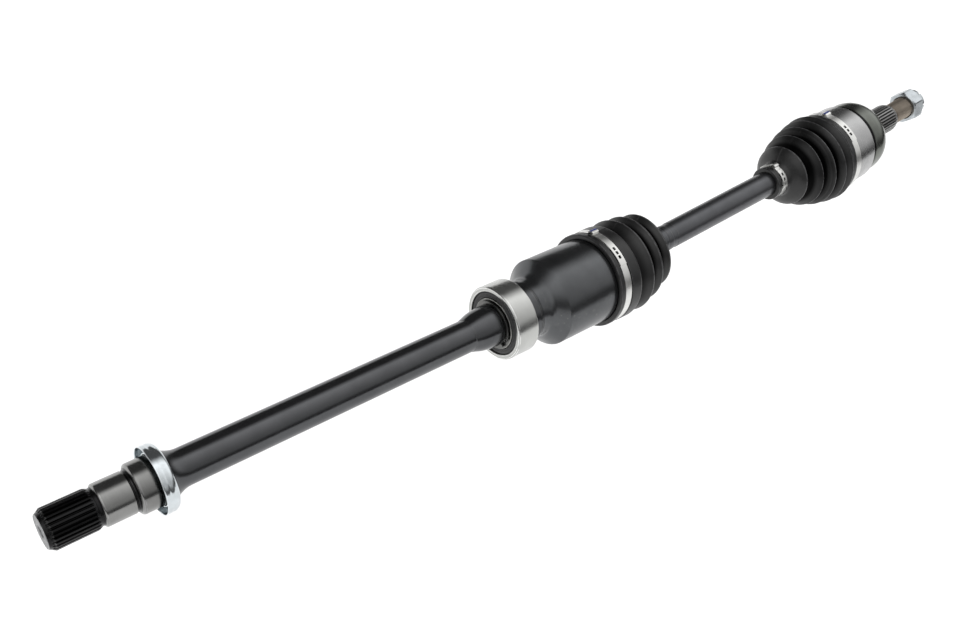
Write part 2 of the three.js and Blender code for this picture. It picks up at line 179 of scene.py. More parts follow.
MAIN = Matrix.Identity(4)
BAR = bent_frame(MAIN, INNER_CENTRE, INNER_BEND)
WHEEL = bent_frame(BAR, BAR_LENGTH, OUTER_BEND)


# ---------------------------------------------------------------- materials
class Nodes:
    """Short calls for building a node tree."""

    def __init__(self, tree):
        self.tree = tree

    def add(self, kind, links=(), **values):
        node = self.tree.nodes.new(kind)
        for key, value in values.items():
            if key.startswith("in_"):
                name = key[3:].replace("_", " ")
                node.inputs[int(name) if name.isdigit() else name].default_value = value
            else:
                setattr(node, key, value)
        for socket, source in links:
            self.tree.links.new(source, node.inputs[socket])
        return node

    def mix(self, factor, first, second):
        node = self.add("ShaderNodeMix", data_type="RGBA")
        for socket, value in ((0, factor), (6, first), (7, second)):
            if isinstance(value, bpy.types.NodeSocket):
                self.tree.links.new(value, node.inputs[socket])
            else:
                node.inputs[socket].default_value = value
        return node.outputs[2]

    def math(self, operation, first, second=0.0, clamp=False):
        node = self.add("ShaderNodeMath", operation=operation, use_clamp=clamp)
        for socket, value in enumerate((first, second)):
            if isinstance(value, bpy.types.NodeSocket):
                self.tree.links.new(value, node.inputs[socket])
            else:
                node.inputs[socket].default_value = value
        return node.outputs[0]

    def noise(self, vector, scale, detail=3.0, rough=0.55):
        return self.add(
            "ShaderNodeTexNoise", [("Vector", vector)],
            in_Scale=scale, in_Detail=detail, in_Roughness=rough,
        ).outputs["Fac"]

    def spread(self, value, low, high, to_low=0.0, to_high=1.0):
        """Maps low..high to to_low..to_high, and stops at both ends."""
        node = self.add(
            "ShaderNodeMapRange", [("Value", value)], clamp=True,
            in_1=low, in_2=high, in_3=to_low, in_4=to_high,
        )
        return node.outputs["Result"]


LINE_SHADE = 0.72  # a turning line's colour, as a share of the base
ROOT_SHADE = 0.12  # the same for the painted shade in roots and valleys
ROUGH_VARY = 0.12
# specular level, and the lower one where painted shade darkens the valleys
PLAIN_SPECULAR, SHADED_SPECULAR = 0.5, 0.04


def tinted(base, share):
    return (*(min(1.0, c * share) for c in base), 1.0)


def material(
    name, base, metallic, rough, vary=0.15, lines=0.0, line_scale=1800.0, edge=None,
    speck=None, grain=0.0, grain_scale=900.0, patches=55.0, dim_in_shade=False,
):
    """A surface with blotches, turning lines round X, edges lightened by wear and painted highlight, roots darkened by
    painted shade, and a fine grain.

    The mesh's attributes for edge wear and highlight and for painted shade say where its edges are and where the shade
    is painted in roots and valleys.
    """
    made = bpy.data.materials.new(name)
    made.use_nodes = True
    tree = made.node_tree
    tree.nodes.clear()
    n = Nodes(tree)
    out = n.add("ShaderNodeOutputMaterial")
    shader = n.add("ShaderNodeBsdfPrincipled", in_Metallic=metallic)
    tree.links.new(shader.outputs[0], out.inputs[0])
    spot = n.add("ShaderNodeTexCoord").outputs["Object"]
    blotch = n.spread(n.noise(spot, patches), 0.32, 0.68)
    color = n.mix(blotch, tinted(base, 1 - vary), tinted(base, 1 + vary))
    uneven = n.noise(spot, patches * 2.3)
    rough_value = n.spread(uneven, 0.3, 0.7, rough * (1 - ROUGH_VARY), rough * (1 + ROUGH_VARY))
    height = None
    if lines:
        apart = n.add("ShaderNodeSeparateXYZ", [("Vector", spot)])
        along = n.add("ShaderNodeCombineXYZ", [("X", apart.outputs["X"])])
        rings = n.noise(along.outputs[0], line_scale, 4.0, 0.7)
        color = n.mix(n.spread(rings, 0.35, 0.65, 0.0, lines), color, tinted(base, LINE_SHADE))
        height = n.math("MULTIPLY", rings, lines * 0.6)
    if grain:
        fine = n.math("MULTIPLY", n.noise(spot, grain_scale, 2.0), grain)
        height = n.math("ADD", height, fine) if height else fine
    if speck:
        dots = n.spread(n.noise(spot, 620.0, 1.0), 0.705, 0.735)
        where = n.spread(n.noise(spot, 34.0, 1.0), 0.52, 0.6)
        color = n.mix(n.math("MULTIPLY", dots, where), color, (*speck, 1.0))
    # painted shade: roots and valleys darken towards ROOT_SHADE as this attribute grows
    recess_shade = n.add("ShaderNodeAttribute", attribute_name="recess_shade").outputs["Fac"]
    shader.inputs["Specular IOR Level"].default_value = PLAIN_SPECULAR
    # where shade is painted the specular level drops too, so the valleys stay dark
    if dim_in_shade:
        shine = n.spread(recess_shade, 0.0, 1.0, PLAIN_SPECULAR, SHADED_SPECULAR)
        tree.links.new(shine, shader.inputs["Specular IOR Level"])
    color = n.mix(recess_shade, color, tinted(base, ROOT_SHADE))
    # edges take a lighter colour: wear, and a painted highlight along crisp edges and fold crests
    if edge:
        wear_and_highlight = n.add("ShaderNodeAttribute", attribute_name="wear_and_highlight").outputs["Fac"]
        patchy = n.spread(n.noise(spot, 240.0), 0.34, 0.55)
        worn_and_lit = n.math("MULTIPLY", n.spread(wear_and_highlight, 0.35, 0.85), patchy, clamp=True)
        color = n.mix(worn_and_lit, color, (*edge, 1.0))
    tree.links.new(color, shader.inputs["Base Color"])
    tree.links.new(rough_value, shader.inputs["Roughness"])
    if height:
        bump = n.add("ShaderNodeBump", [("Height", height)], in_Strength=0.35, in_Distance=0.0003)
        tree.links.new(bump.outputs[0], shader.inputs["Normal"])
    return made


# painted and coated
PAINT = material(
    "black_paint", (0.088, 0.09, 0.094), 0.95, 0.2, vary=0.08, edge=(0.16, 0.16, 0.16), grain=0.2,
)
HOUSING = material(
    "black_paint_housing", (0.098, 0.101, 0.105), 0.95, 0.24, vary=0.1, lines=0.12, line_scale=500.0,
    edge=(0.2, 0.2, 0.195), speck=(0.22, 0.22, 0.21), grain=0.2,
)
BAR_PAINT = material(
    "bar_paint", (0.1, 0.102, 0.108), 0.9, 0.32, vary=0.07, edge=(0.16, 0.16, 0.16), grain=0.3,
)
THREAD = material(
    "thread_coating", (0.33, 0.285, 0.235), 0.7, 0.42, vary=0.14, edge=(0.42, 0.37, 0.31),
)
ZINC = material(
    "zinc_plate", (0.6, 0.64, 0.66), 1.0, 0.15, vary=0.1, edge=(0.82, 0.86, 0.88), patches=120.0,
)
NUT = material(
    "nut_plate", (0.44, 0.47, 0.49), 1.0, 0.26, vary=0.12, edge=(0.6, 0.63, 0.65), patches=150.0,
)
BLUE = material("blue_marking_paint", (0.012, 0.03, 0.22), 0.0, 0.4, vary=0.25)

# bare steel
SPLINE = material("black_spline", (0.016, 0.016, 0.0165), 0.9, 0.24, vary=0.2, edge=(0.1, 0.1, 0.1))
END_FACE = material(
    "end_face", (0.2, 0.205, 0.21), 0.9, 0.4, vary=0.2, edge=(0.5, 0.5, 0.5), lines=0.3,
)
JOURNAL = material(
    "ground_journal", (0.25, 0.25, 0.245), 1.0, 0.2, vary=0.12, lines=0.35, edge=(0.34, 0.34, 0.33),
)
JOURNAL_DARK = material(
    "ground_journal_dark", (0.235, 0.235, 0.23), 1.0, 0.2, vary=0.15, lines=0.35, edge=(0.28, 0.28, 0.28),
)
BEARING = material(
    "bearing_steel", (0.5, 0.505, 0.49), 1.0, 0.24, vary=0.06, lines=0.25, edge=(0.8, 0.8, 0.79),
)
RACE = material(
    "race_steel", (0.15, 0.15, 0.145), 1.0, 0.28, vary=0.1, lines=0.3, edge=(0.36, 0.36, 0.34),
)
STAINLESS = material(
    "clamp_stainless", (0.72, 0.72, 0.7), 1.0, 0.3, vary=0.12, lines=0.2, edge=(0.93, 0.93, 0.92),
)
BELL = material(
    "turned_bell", (0.4, 0.4, 0.4), 1.0, 0.25, vary=0.1, lines=0.35, edge=(0.62, 0.62, 0.62),
)
FORGED = material(
    "forged_flange", (0.15, 0.158, 0.143), 1.0, 0.22, vary=0.14, lines=0.3, edge=(0.4, 0.42, 0.37),
)
STUB_RIM = material(
    "machined_rim", (0.62, 0.64, 0.6), 1.0, 0.3, vary=0.08, lines=0.3, edge=(0.6, 0.62, 0.58),
)
STUB = material("stub_spline", (0.25, 0.25, 0.245), 0.95, 0.34, vary=0.15, edge=(0.4, 0.4, 0.4))
HIDDEN_STEEL = material("hidden_steel", (0.4, 0.4, 0.39), 1.0, 0.28, vary=0.1, lines=0.2)

# rubber
SEAL = material(
    "seal_rubber", (0.03, 0.03, 0.031), 0.0, 0.5, vary=0.2, edge=(0.06, 0.06, 0.06), grain=0.3,
)
# the boot's edge colour paints highlights on the fold crests, and its valleys get painted shade
RUBBER = material(
    "boot_rubber", (0.007, 0.007, 0.0072), 0.0, 0.36, vary=0.2, edge=(0.07, 0.07, 0.073), grain=0.4,
    grain_scale=1500.0, patches=90.0, dim_in_shade=True,
)


# ---------------------------------------------------------------- meshes
CRISP_FILLET, FLAT_CORNER = 0.9, math.radians(155)
FILLET_SHARE = 0.48  # how much of a side one fillet may take


def filleted(points, closed, steps=4):
    """Rounds each (x, r, fillet) corner of an outline, and returns (x, r, wear and highlight, material) rings.

    A bare integer in the list is the material's number for the corners after it.
    """
    corners, current = [], 0
    for point in points:
        if isinstance(point, int):
            current = point
        else:
            corners.append((*point, 0.0)[:3] + (current,))
    rings = []
    last = len(corners) - 1
    for i, (x, r, radius, slot) in enumerate(corners):
        if not radius or (not closed and i in (0, last)):
            rings.append((x, r, 0.0, slot))
            continue
        before, after = corners[i - 1], corners[(i + 1) % len(corners)]
        here = Vector((x, r))
        back, ahead = Vector(before[:2]) - here, Vector(after[:2]) - here
        start = here + back.normalized() * min(radius, back.length * FILLET_SHARE)
        end = here + ahead.normalized() * min(radius, ahead.length * FILLET_SHARE)
        # crisp convex corners get edge wear and a painted highlight
        crisp = radius < CRISP_FILLET and back.angle(ahead) < FLAT_CORNER
        convex = crisp and back.x * ahead.y - back.y * ahead.x > 0
        for k in range(steps + 1):
            t = k / steps
            spot = start * (1 - t) ** 2 + here * 2 * t * (1 - t) + end * t * t
            rings.append((spot.x, spot.y, math.sin(t * math.pi) if convex else 0.0, slot))
    return rings


def loft(
    name, rings, materials, place=MAIN, closed=False, segments=144, warp=None, ridge=None, sharp=32.0,
):
    """Joins rings round X into one skin.

    A ring's radius is a number, or a function of the angle that returns (radius, painted shade). A ring of
    radius 0 is a point on the axis. warp moves each point, and ridge raises a seam as MOULD_LINE does.
    """
    angles = [TURN * j / segments for j in range(segments)]
    if ridge:
        middle, half, height = math.radians(ridge[0]), math.radians(ridge[1]), ridge[2]
        angles = sorted(a for a in angles if abs(a - middle) > half * 1.5)
        angles = sorted(angles + [middle - half, middle, middle + half])
    points, wear_and_highlight, recess_shade, rows = [], [], [], []
    for x, r, worn_and_lit, _, *valley_shade in rings:
        valley_shade = valley_shade[0] if valley_shade else 0.0
        if r == 0:
            rows.append([len(points)])
            points.append(Vector((x, 0, 0)))
            wear_and_highlight.append(worn_and_lit)
            recess_shade.append(0.0)
            continue
        rows.append([])
        for angle in angles:
            radius, shade_amount = r(angle) if callable(r) else (r, valley_shade)
            if ridge and abs(angle - middle) < half * 0.5:
                radius += height
            rows[-1].append(len(points))
            points.append(Vector((x, radius * math.cos(angle), radius * math.sin(angle))))
            wear_and_highlight.append(worn_and_lit)
            recess_shade.append(shade_amount)
    faces, slots = [], []
    pairs = list(zip(range(len(rows)), range(1, len(rows))))
    if closed:
        pairs.append((len(rows) - 1, 0))
    for a, b in pairs:
        first, second = rows[a], rows[b]
        count = max(len(first), len(second))
        for j in range(count):
            k = (j + 1) % count
            if len(first) == 1:
                faces.append((first[0], second[k], second[j]))
            elif len(second) == 1:
                faces.append((first[j], first[k], second[0]))
            else:
                faces.append((first[j], first[k], second[k], second[j]))
            slots.append(rings[b][3])
    if warp:
        points = [warp(p) for p in points]
    return finish_mesh(name, points, faces, slots, materials, place, wear_and_highlight, recess_shade, sharp)


def finish_mesh(name, points, faces, slots, materials, place, wear_and_highlight=None, recess_shade=None, sharp=32.0):
    """A smooth-shaded object from points in millimetres, with its attributes for edge wear and highlight and for
    painted shade.
    """
    mesh = bpy.data.meshes.new(name)
    mesh.from_pydata([p * MM for p in points], [], faces)
    for made in materials:
        mesh.materials.append(made)
    mesh.polygons.foreach_set("material_index", slots)
    for label, values in (("wear_and_highlight", wear_and_highlight), ("recess_shade", recess_shade)):
        layer = mesh.attributes.new(label, "FLOAT", "POINT")
        layer.data.foreach_set("value", values or [0.0] * len(points))
    mesh.shade_smooth()
    mesh.set_sharp_from_angle(angle=math.radians(sharp))
    mesh.validate()
    obj = bpy.data.objects.new(name, mesh)
    scene.collection.objects.link(obj)
    obj.matrix_world = place
    return obj


def stands_for(obj, body, slot, *nodes):
    """The piece rides on a body, has a slot of the record and stands for CAD nodes."""
    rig.ride(obj, body)
    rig.slot(obj, slot)
    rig.replaces(obj, *nodes)


def teeth(count, root, tip, limit):
    """A spline's section, cut down to a limit where its end is chamfered. Its roots get painted shade."""

    def radius(angle):
        share = abs((angle / TURN * count) % 1 - 0.5) * 2  # 1 on a tooth, 0 in a root
        rise = min(1.0, max(0.0, (share - 0.3) / 0.28))
        r = min(root + (tip - root) * rise, limit)
        return r, (1 - rise) * min(1.0, max(0.0, (limit - root) / (tip - root)))

    return radius


def sheet(line, thickness):
    """The closed outline of a thin sheet that follows a centre line of (x, r, fillet) points."""
    outer, inner = [], []
    for i, point in enumerate(line):
        x, r = point[:2]
        ahead, behind = line[min(i + 1, len(line) - 1)], line[max(i - 1, 0)]
        along = Vector((ahead[0] - behind[0], ahead[1] - behind[1])).normalized()
        side = Vector((-along.y, along.x)) * thickness / 2
        fillet = point[2] if len(point) > 2 else 0.0
        if i in (0, len(line) - 1):
            fillet = thickness * 0.45  # the rounded lips
        outer.append((x + side.x, r + side.y, fillet))
        inner.append((x - side.x, r - side.y, fillet))
    return [0, *outer, *reversed(inner)]


# ---------------------------------------------------------------- intermediate shaft
def ease_out(t):
    t = min(1.0, max(0.0, t))
    return t * (2 - t)


def shaft_spline():
    """The differential spline: a chamfered start, straight teeth and a run-out that rises to the tips."""
    full = SHAFT_SPLINE["tip"] + 0.2
    tooth = lambda limit: teeth(**SHAFT_SPLINE, limit=limit)
    rings = [
        (-363.4, tooth(12.5), 0.0, 1), (-362.2, tooth(13.3), 0.5, 1), (-361.6, tooth(13.8), 0.8, 1),
        (-360.8, tooth(full), 0.1, 1), (-336.2, tooth(full), 0.0, 1),
    ]
    for i in range(1, 5):
        root = SHAFT_SPLINE["root"] + 0.25 * i
        section = teeth(SHAFT_SPLINE["count"], root, SHAFT_SPLINE["tip"], 14 - 0.22 * i)
        rings.append((-336.2 + 0.5 * i, section, 0.0, 1))
    return rings


def build_shaft():
    end, journal, shoulder, tube = SHAFT_START, JOURNAL_RADIUS, SHOULDER_RADIUS, TUBE_RADIUS
    rings = filleted([
        1, (-356, 0), (-357, 1.9), (-361.5, 2.1), (-364.4, 4.3), 0, (-365.1, 4.7, 0.2), (end, 5.3, 0.3),
        (end, 11.3, 0.5), 1, (-363.4, 12.44, 0.3),
    ], False)
    rings += shaft_spline()
    # relief, first journal, groove and second journal
    rings += filleted([
        1, (-333.6, 12.9), (-333.2, 12.6, 0.4), (-331.8, 12.6, 0.5), 2, (-331.0, 13.9, 0.3),
        (-330.2, journal, 0.4), (-312.2, journal, 0.3), 1, (-311.9, 13.7, 0.2), (-311.0, 13.6, 0.2),
        (-310.7, 14.2, 0.2), (-309.9, 14.2, 0.2), (-309.6, 15.0, 0.3), 3, (-308.7, 16.9, 0.5),
        (-307.7, shoulder, 0.5), (-287.3, shoulder, 0.3),
    ], False)
    # the shoulder flows into the tube over 12 mm
    rings += [
        (x, 17.3 - 4.25 * ease_out((x + 287) / 12), 0.0, 4) for x in (-287 + 0.6 * i for i in range(21))
    ]
    rings += [(x, tube, 0.0, 4) for x in (-240, -200, -160, -120, -80, -38.7)]
    # the flare up to the bearing
    rings += filleted([
        4, (-38.6, tube), (-38.3, 13.45, 0.2), (-37.5, 13.6, 0.2), (-28.4, 16.5, 7), (-14.6, shoulder),
    ], False, steps=10)
    # snap ring groove, bearing seat, and the neck up to the weld
    rings += filleted([
        4, (-14.4, shoulder), (-13.6, shoulder, 0.2), 3, (-13.4, 16.6), (-11.0, 16.6), (-10.9, 17.45),
        (11.2, 17.45), 4, (11.2, 21, 0.4), (12.4, 22.7, 0.8), (14.6, 24.4, 0.8),
        (18.9, NECK_RADIUS, 0.3), (19.4, 24.9, 0.4), (20.1, 24.9, 0.2), (20.1, 12), (24, 12), (24, 0),
    ], False)
    obj = loft("shaft_body", rings, [END_FACE, SPLINE, JOURNAL, JOURNAL_DARK, PAINT], segments=280)
    stands_for(obj, "intermediate", "black_paint", "intermediate_shaft")


def build_dust_shield():
    line = [
        (-295.0, 18.3), (-289.8, 18.3, 1.4), (-287.9, 19.4, 0.8), (-287.8, 20.6, 0.8),
        (-288.6, 22.2, 1.2), (-291.4, 23.3, 1.0), (-293.0, 22.9, 0.5), (-294.4, 23.3, 0.5),
        (-296.6, 23.2, 0.4), (-297.2, 23.5),
    ]
    obj = loft("dust_shield_ring", filleted(sheet(line, 0.8), True), [ZINC], closed=True)
    stands_for(obj, "intermediate", "zinc_plate", "dust_shield")


# ---------------------------------------------------------------- support bearing
def build_bearing():
    far, radius = BEARING_HALF_WIDTH, BEARING_RADIUS
    outer = [
        (-9.6, radius, 0.5), (9.6, radius, 0.5), (far, 29.9, 0.5), (far, 27.4, 0.3), (10.2, 26.9, 0.2),
        (5, 26.9), (4, 27.6), (0, 28.3), (-4, 27.6), (-5, 26.9), (-10.2, 26.9, 0.2), (-far, 27.4, 0.3),
        (-far, 29.9, 0.5),
    ]
    obj = loft("bearing_ring_outer", filleted(outer, True), [BEARING], closed=True, segments=180)
    stands_for(obj, "bearing_fixed", "bright_steel", "bearing_outer_ring")
    inner = [
        (-far, 17.9, 0.5), (-far, 21.2, 0.4), (-10.2, 21.6, 0.2), (-4, 21.6), (0, 20.2), (4, 21.6),
        (10.2, 21.6, 0.2), (far, 21.2, 0.4), (far, 17.9, 0.5),
    ]
    obj = loft("bearing_ring_inner", filleted(inner, True), [RACE], closed=True)
    stands_for(obj, "intermediate", "ground_steel", "bearing_inner_ring")
    build_seals()


def build_seals():
    lip = [
        (-9.8, 21.95, 0.15), (-9.8, 22.7, 0.2), (-9.1, 23.1, 0.2), (-9.1, 23.9, 0.2), (-9.5, 24.3, 0.2),
        (-9.5, 25.7, 0.2), (-9.0, 26.0, 0.2), (-9.0, 26.65, 0.2), (-8.1, 26.65, 0.2), (-8.1, 21.95, 0.2),
    ]
    mirrored = [(-x, r, fillet) for x, r, fillet in reversed(lip)]
    for outline, node in ((lip, "bearing_seal_inboard"), (mirrored, "bearing_seal_outboard")):
        obj = loft(node + "_lip", filleted(outline, True), [SEAL], closed=True)
        stands_for(obj, "bearing_fixed", "seal_rubber", node)


# ---------------------------------------------------------------- bent strips
def arc_band(name, place, x0, x1, layers, materials, bevel=0.12):
    """Strips bent round X and joined in one piece, from x0 to x1.

    Each layer is (thickness, holes, path): holes are (from, to) in degrees, and the path's points are
    (degrees, inside radius, material).
    """
    points, faces, slots = [], [], []
    for thick, holes, path in layers:
        hole_edges = [x0 + (x1 - x0) * share for share in (0.32, 0.68)]
        across = [x0, *hole_edges, x1] if holes else [x0, x1]
        base = len(points)
        angles = [math.radians(degrees) for degrees, _, _ in path]
        spots = [Vector((0, r * math.cos(a), r * math.sin(a))) for a, (_, r, _) in zip(angles, path)]
        for i, spot in enumerate(spots):
            ahead, behind = spots[min(i + 1, len(spots) - 1)], spots[max(i - 1, 0)]
            along = (ahead - behind).normalized()
            side = Vector((0, along.z, -along.y)) * thick  # outwards as the angle grows
            for x in across:
                for lift in (0.0, 1.0):
                    points.append(spot + side * lift + Vector((x, 0, 0)))
        wide = len(across)
        index = lambda i, k, lift: base + (i * wide + k) * 2 + lift
        steps = range(len(path) - 1)
        middles = [(path[i][0] + path[i + 1][0]) / 2 for i in steps]
        gone = {(i, 1) for i in steps if any(low < middles[i] < high for low, high in holes)}
        cells = {(i, k) for i in steps for k in range(wide - 1)} - gone
        for i, k in sorted(cells):
            slot = path[i + 1][2]
            faces.append((index(i, k, 0), index(i + 1, k, 0), index(i + 1, k + 1, 0), index(i, k + 1, 0)))
            faces.append((index(i, k, 1), index(i, k + 1, 1), index(i + 1, k + 1, 1), index(i + 1, k, 1)))
            slots += [slot, slot]
            for near, p, q in (
                ((i - 1, k), (i, k), (i, k + 1)), ((i + 1, k), (i + 1, k + 1), (i + 1, k)),
                ((i, k - 1), (i + 1, k), (i, k)), ((i, k + 1), (i, k + 1), (i + 1, k + 1)),
            ):
                if near not in cells:
                    faces.append((index(*p, 0), index(*q, 0), index(*q, 1), index(*p, 1)))
                    slots.append(slot)
    obj = finish_mesh(name, points, faces, slots, materials, place)
    soften = obj.modifiers.new("edges", "BEVEL")
    soften.width = bevel * MM
    soften.segments = 2
    soften.limit_method = "ANGLE"
    return obj


def arc(start, end, radius, slot=0, step=3.0):
    """A path of even steps, in degrees, at one radius."""
    count = max(1, round(abs(end - start) / step))
    return [(start + (end - start) * i / count, radius, slot) for i in range(count + 1)]


def build_snap_ring():
    split_ring = (2.9, (), arc(203, 537, 16.9))
    obj = arc_band("snap_ring", MAIN, -12.9, -11.5, [split_ring], [RACE])
    stands_for(obj, "intermediate", "ground_steel", "bearing_snap_ring")


# ---------------------------------------------------------------- inner joint
def lobes(side, reach, corner, least):
    """The housing's inside: three straight-sided tracks, opened up to a least radius at the mouth.

    A track is 2 * side wide, goes out to reach, and its bottom corners are rounded by corner.
    """
    web = side / math.sin(TURN / 6) + 1  # the radius where two tracks' walls meet
    tip = Vector((reach - corner, side - corner))

    def radius(angle):
        turn = (angle - TURN / 4) % (TURN / 3)
        turn = min(turn, TURN / 3 - turn)
        across, along = math.sin(turn), math.cos(turn)
        direction = Vector((along, across))
        r = min(side / across if across > 1e-6 else 99.0, reach / along)
        spot = direction * r
        if spot.x > tip.x and spot.y > tip.y:
            middle = direction.dot(tip)
            gap = middle * middle - tip.length_squared + corner * corner
            r = middle + math.sqrt(max(gap, 0.0))
        return max(r, web if turn > 0.9 else 0.0, least), 0.0

    return radius


def build_housing():
    mouth = lambda x: lobes(16.8, 32.0, 5.0, 29.8 - (111 - x) * 0.38)  # a cone cut through the tracks
    neck, radius = NECK_RADIUS, HOUSING_RADIUS
    rings = filleted([
        0, (20.4, 12.5), (20.4, 24.9, 0.2), (21.3, 24.9, 0.4), (22.0, neck, 0.3), (27.6, neck, 2.6),
        (30.6, 25.0, 2.0), (33.0, 27.4, 1.2), (39.9, 36.6), (40.3, 37.0), (40.7, radius),
        (96.6, radius, 0.5), (97.4, 36.4, 0.4), (109.2, 36.4, 0.5), (110, 35.6, 0.4), (110, 33.2),
    ], False)
    rings += [(x, mouth(x), 0.0, 0) for x in (110, 102, 94, 87, 80, 43.4)]
    rings += filleted([0, (42.5, 18, 0.5), (42.5, 12.5), (24.5, 12.5), (24.5, 0)], False)
    obj = loft("inner_housing", rings, [HOUSING], segments=180)
    stands_for(obj, "intermediate", "black_paint", "inner_joint_housing")


def bend_about(centre, degrees, start, end):
    """Turns a point up about Y at a joint centre, more and more from start to end along X."""

    def warp(p):
        t = min(1.0, max(0.0, (p.x - start) / (end - start)))
        angle = math.radians(degrees) * t * t * (3 - 2 * t)
        x, z = p.x - centre, p.z
        return Vector((
            centre + x * math.cos(angle) - z * math.sin(angle), p.y,
            x * math.sin(angle) + z * math.cos(angle),
        ))

    return warp


def shade_valleys(rings, start, end):
    """Adds painted shade between start and end to each ring that lies well below the folds near it."""
    shaded = []
    for x, r, worn_and_lit, slot in rings:
        highest = max(other[1] for other in rings if -7 < other[0] - x < 15)
        valley_shade = (highest - r - 1.6) / 5.5 if start < x < end else 0.0
        shaded.append((x, r, worn_and_lit, slot, min(1.0, max(0.0, valley_shade))))
    return shaded


def build_boot(name, outside, bores, folds, cuts, bodies, place, warp):
    """A bellows cut into sections along X, each of which follows two bodies.

    bores is (radius, up to x, radius, from x): the plain ends, with a wall of even thickness between.
    bodies has one (body, next body, blend start, blend end) for each section.
    """
    # the valleys between the folds get painted shade
    rings = shade_valleys(filleted([0, *outside], False, steps=6), *folds)
    low_bore, low_end, high_bore, high_start = bores
    limits = [outside[0][0], *cuts, outside[-1][0]]
    at = lambda x: tuple(place @ (warp(Vector((x, 0, 0))) * MM))
    made = []
    for k, (low, high) in enumerate(zip(limits, limits[1:])):
        skin = [ring for ring in rings if low - 1e-6 <= ring[0] <= high + 1e-6]
        bore = []
        for x, r, _, slot, _ in reversed(skin):
            inside = low_bore if x < low_end else high_bore if x > high_start else r - BOOT_WALL
            bore.append((x, inside, 0.0, slot))
        obj = loft(
            f"{name}_{k + 1}", skin + bore, [RUBBER], place, closed=True, warp=warp, ridge=MOULD_LINE,
            segments=150, sharp=65.0,
        )
        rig.slot(obj, "boot_rubber")
        a, b, start, end = bodies[k]
        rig.blend(obj, a, b, start=at(start), end=at(end))
        made.append(obj)
    for obj in made:
        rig.replaces(obj, name)


def build_inner_boot():
    outside = [
        # the band's seat
        (94.8, 40.6, 0.4), (95.5, 41.3, 0.6), (99.4, 41.3, 0.4), (99.8, 39.9, 0.2), (108.3, 39.9, 0.2),
        (108.7, 41.4, 0.5), (118.4, 41.55), (119.8, 41.2, 0.7),
        # three folds
        (123.0, 36.6, 1.4), (126.4, 35.6, 1.4), (130.6, 39.2, 3), (134.6, 41.5, 0.8), (136.0, 41.0, 0.8),
        (138.2, 34.0, 1.2), (141.0, 32.0, 1.4), (144.4, 36.4, 2.5), (147.8, 38.7, 0.8),
        (149.4, 38.2, 0.8), (151.6, 30.0, 1.2), (154.4, 28.2, 1.4), (158.2, 32.4, 2.5),
        (161.8, 34.2, 0.8), (163.4, 33.6, 1.0), (166.2, 22.0, 2.0),
        # the collar on the bar
        (168.2, 15.2, 1.2), (169.4, 14.1, 0.4), (176.2, 14.1, 0.2), (176.5, 15.0, 0.4), (179, 14.6, 0.5),
    ]
    bodies = [
        ("intermediate", "inner_boot_body", 109, 118.4), ("inner_boot_body", "bar", 118.4, 146),
    ]
    build_boot(
        "inner_boot", outside, bores=(37.6, 118, 12.2, 168), folds=(118.6, 162.5), cuts=[118.4],
        bodies=bodies, place=MAIN, warp=bend_about(INNER_CENTRE, INNER_BEND, 121, 170),
    )


def build_outer_boot():
    outside = [
        # the collar on the bar
        (-107.6, 15.4, 0.3), (-107.0, 16.0, 0.4), (-102.8, 16.2, 0.3), (-102.4, 15.0, 0.2),
        (-95.4, 15.0, 0.2), (-95.0, 16.4, 0.4), (-91.4, 17.6, 1.5),
        # five folds
        (-86.6, 25.6, 3), (-82.6, 29.6, 0.8), (-81.2, 29.5, 0.8), (-78.0, 23.4, 1.2), (-75.6, 22.4, 1.4),
        (-70.0, 31.6, 3), (-65.2, 36.4, 0.8), (-63.8, 36.0, 0.8), (-61.4, 28.6, 1.2), (-58.8, 27.4, 1.4),
        (-54.6, 36.4, 3), (-50.6, 40.9, 0.8), (-49.2, 40.5, 0.8), (-47.2, 33.8, 1.0), (-46.0, 32.8),
        (-44.4, 33.2, 1.0), (-41.4, 39.6, 2.5), (-37.6, 43.6, 0.8), (-36.4, 43.2, 0.8),
        (-34.6, 39.8, 0.8), (-33.2, 39.6, 1.0), (-30.6, 42.4, 1.5), (-28.8, 44.2, 0.5), (-28.0, 44.6),
        (-27.0, 44.3, 0.5), (-25.6, 41.6, 0.5), (-24.6, 41.4, 0.5),
        # the band's seat
        (-23.4, 42.4, 0.6), (-19.0, 42.4, 0.4), (-18.6, 40.9, 0.2), (-10.6, 40.9, 0.2),
        (-10.2, 41.2, 0.3),
    ]
    bodies = [
        ("bar", "cage", -76, -46), ("cage", "outer_boot_body", -46, -28),
        ("outer_boot_body", "wheel_end", -28, -18.8),
    ]
    build_boot(
        "outer_boot", outside, bores=(12.2, -91, 38.9, -23.6), folds=(-80.3, -24), cuts=[-46.0, -28.0],
        bodies=bodies, place=BAR @ Matrix.Translation((BAR_LENGTH * MM, 0, 0)),
        warp=bend_about(0, OUTER_BEND, -91, -22),
    )


# ---------------------------------------------------------------- clamps
EAR = [  # a crimped ear's outline: degrees from its middle, height above the strip, painted or not
    (9, 0, False), (5, 0.2, False), (2.6, 0.9, False), (3.2, 2.2, False), (1.5, 2.9, True),
    (0.2, 3.0, True), (-1.5, 2.8, False), (-3.2, 2.2, False), (-2.8, 0.9, False), (-5.4, 0.2, False),
    (-9, 0, False),
]
PLAIN, MARKED, SHADED = 0, 1, 2  # a clamp's materials: steel, blue paint, and painted shadow under a hole


